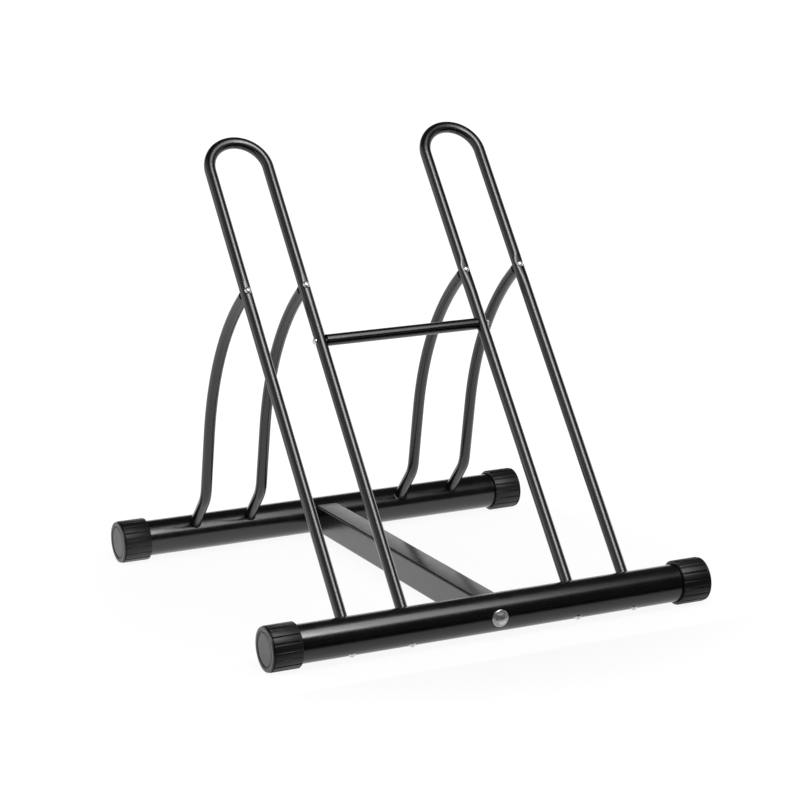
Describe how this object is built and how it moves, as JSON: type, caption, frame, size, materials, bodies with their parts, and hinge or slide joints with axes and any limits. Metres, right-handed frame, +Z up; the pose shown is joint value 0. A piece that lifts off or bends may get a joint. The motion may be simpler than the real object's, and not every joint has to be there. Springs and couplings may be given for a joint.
{
  "type": "floor bike rack",
  "caption": "Free-standing floor rack that holds bicycles upright by the front wheel in leaning hoops of bent tube on a bolted base.",
  "frame": {"origin": "on the floor, in the middle of the rack's footprint", "axes": "+X along the base tubes to the right as seen from the front, +Y from the front base tube to the rear one, +Z up"},
  "size_m": [0.64, 0.6058, 0.612],
  "materials": {
    "painted_tube": "semi-gloss black enamel on bent steel tube",
    "cap_plastic": "moulded black plastic, fine grain, fluted skirt",
    "zinc_steel": "bright zinc plated steel"
  },
  "bodies": {
    "root": {"front_base_tube": "painted_tube", "rear_base_tube": "painted_tube", "centre_beam": "painted_tube", "front_left_cap": "cap_plastic", "front_right_cap": "cap_plastic", "rear_left_cap": "cap_plastic", "rear_right_cap": "cap_plastic", "left_hoop": "painted_tube", "right_hoop": "painted_tube", "left_outer_brace": "painted_tube", "left_inner_brace": "painted_tube", "right_inner_brace": "painted_tube", "right_outer_brace": "painted_tube", "crossbar": "painted_tube", "hoop_leg_inserts": "zinc_steel", "brace_top_inserts": "zinc_steel", "brace_foot_inserts": "zinc_steel", "crossbar_inserts": "zinc_steel", "hoop_leg_screws": "zinc_steel", "brace_screws": "zinc_steel", "brace_foot_screws": "zinc_steel", "crossbar_screws": "zinc_steel", "front_beam_bolt": "zinc_steel", "rear_beam_bolt": "zinc_steel", "beam_washers": "zinc_steel", "beam_nut_plates": "zinc_steel", "beam_nuts": "zinc_steel"}
  },
  "joints": []
}
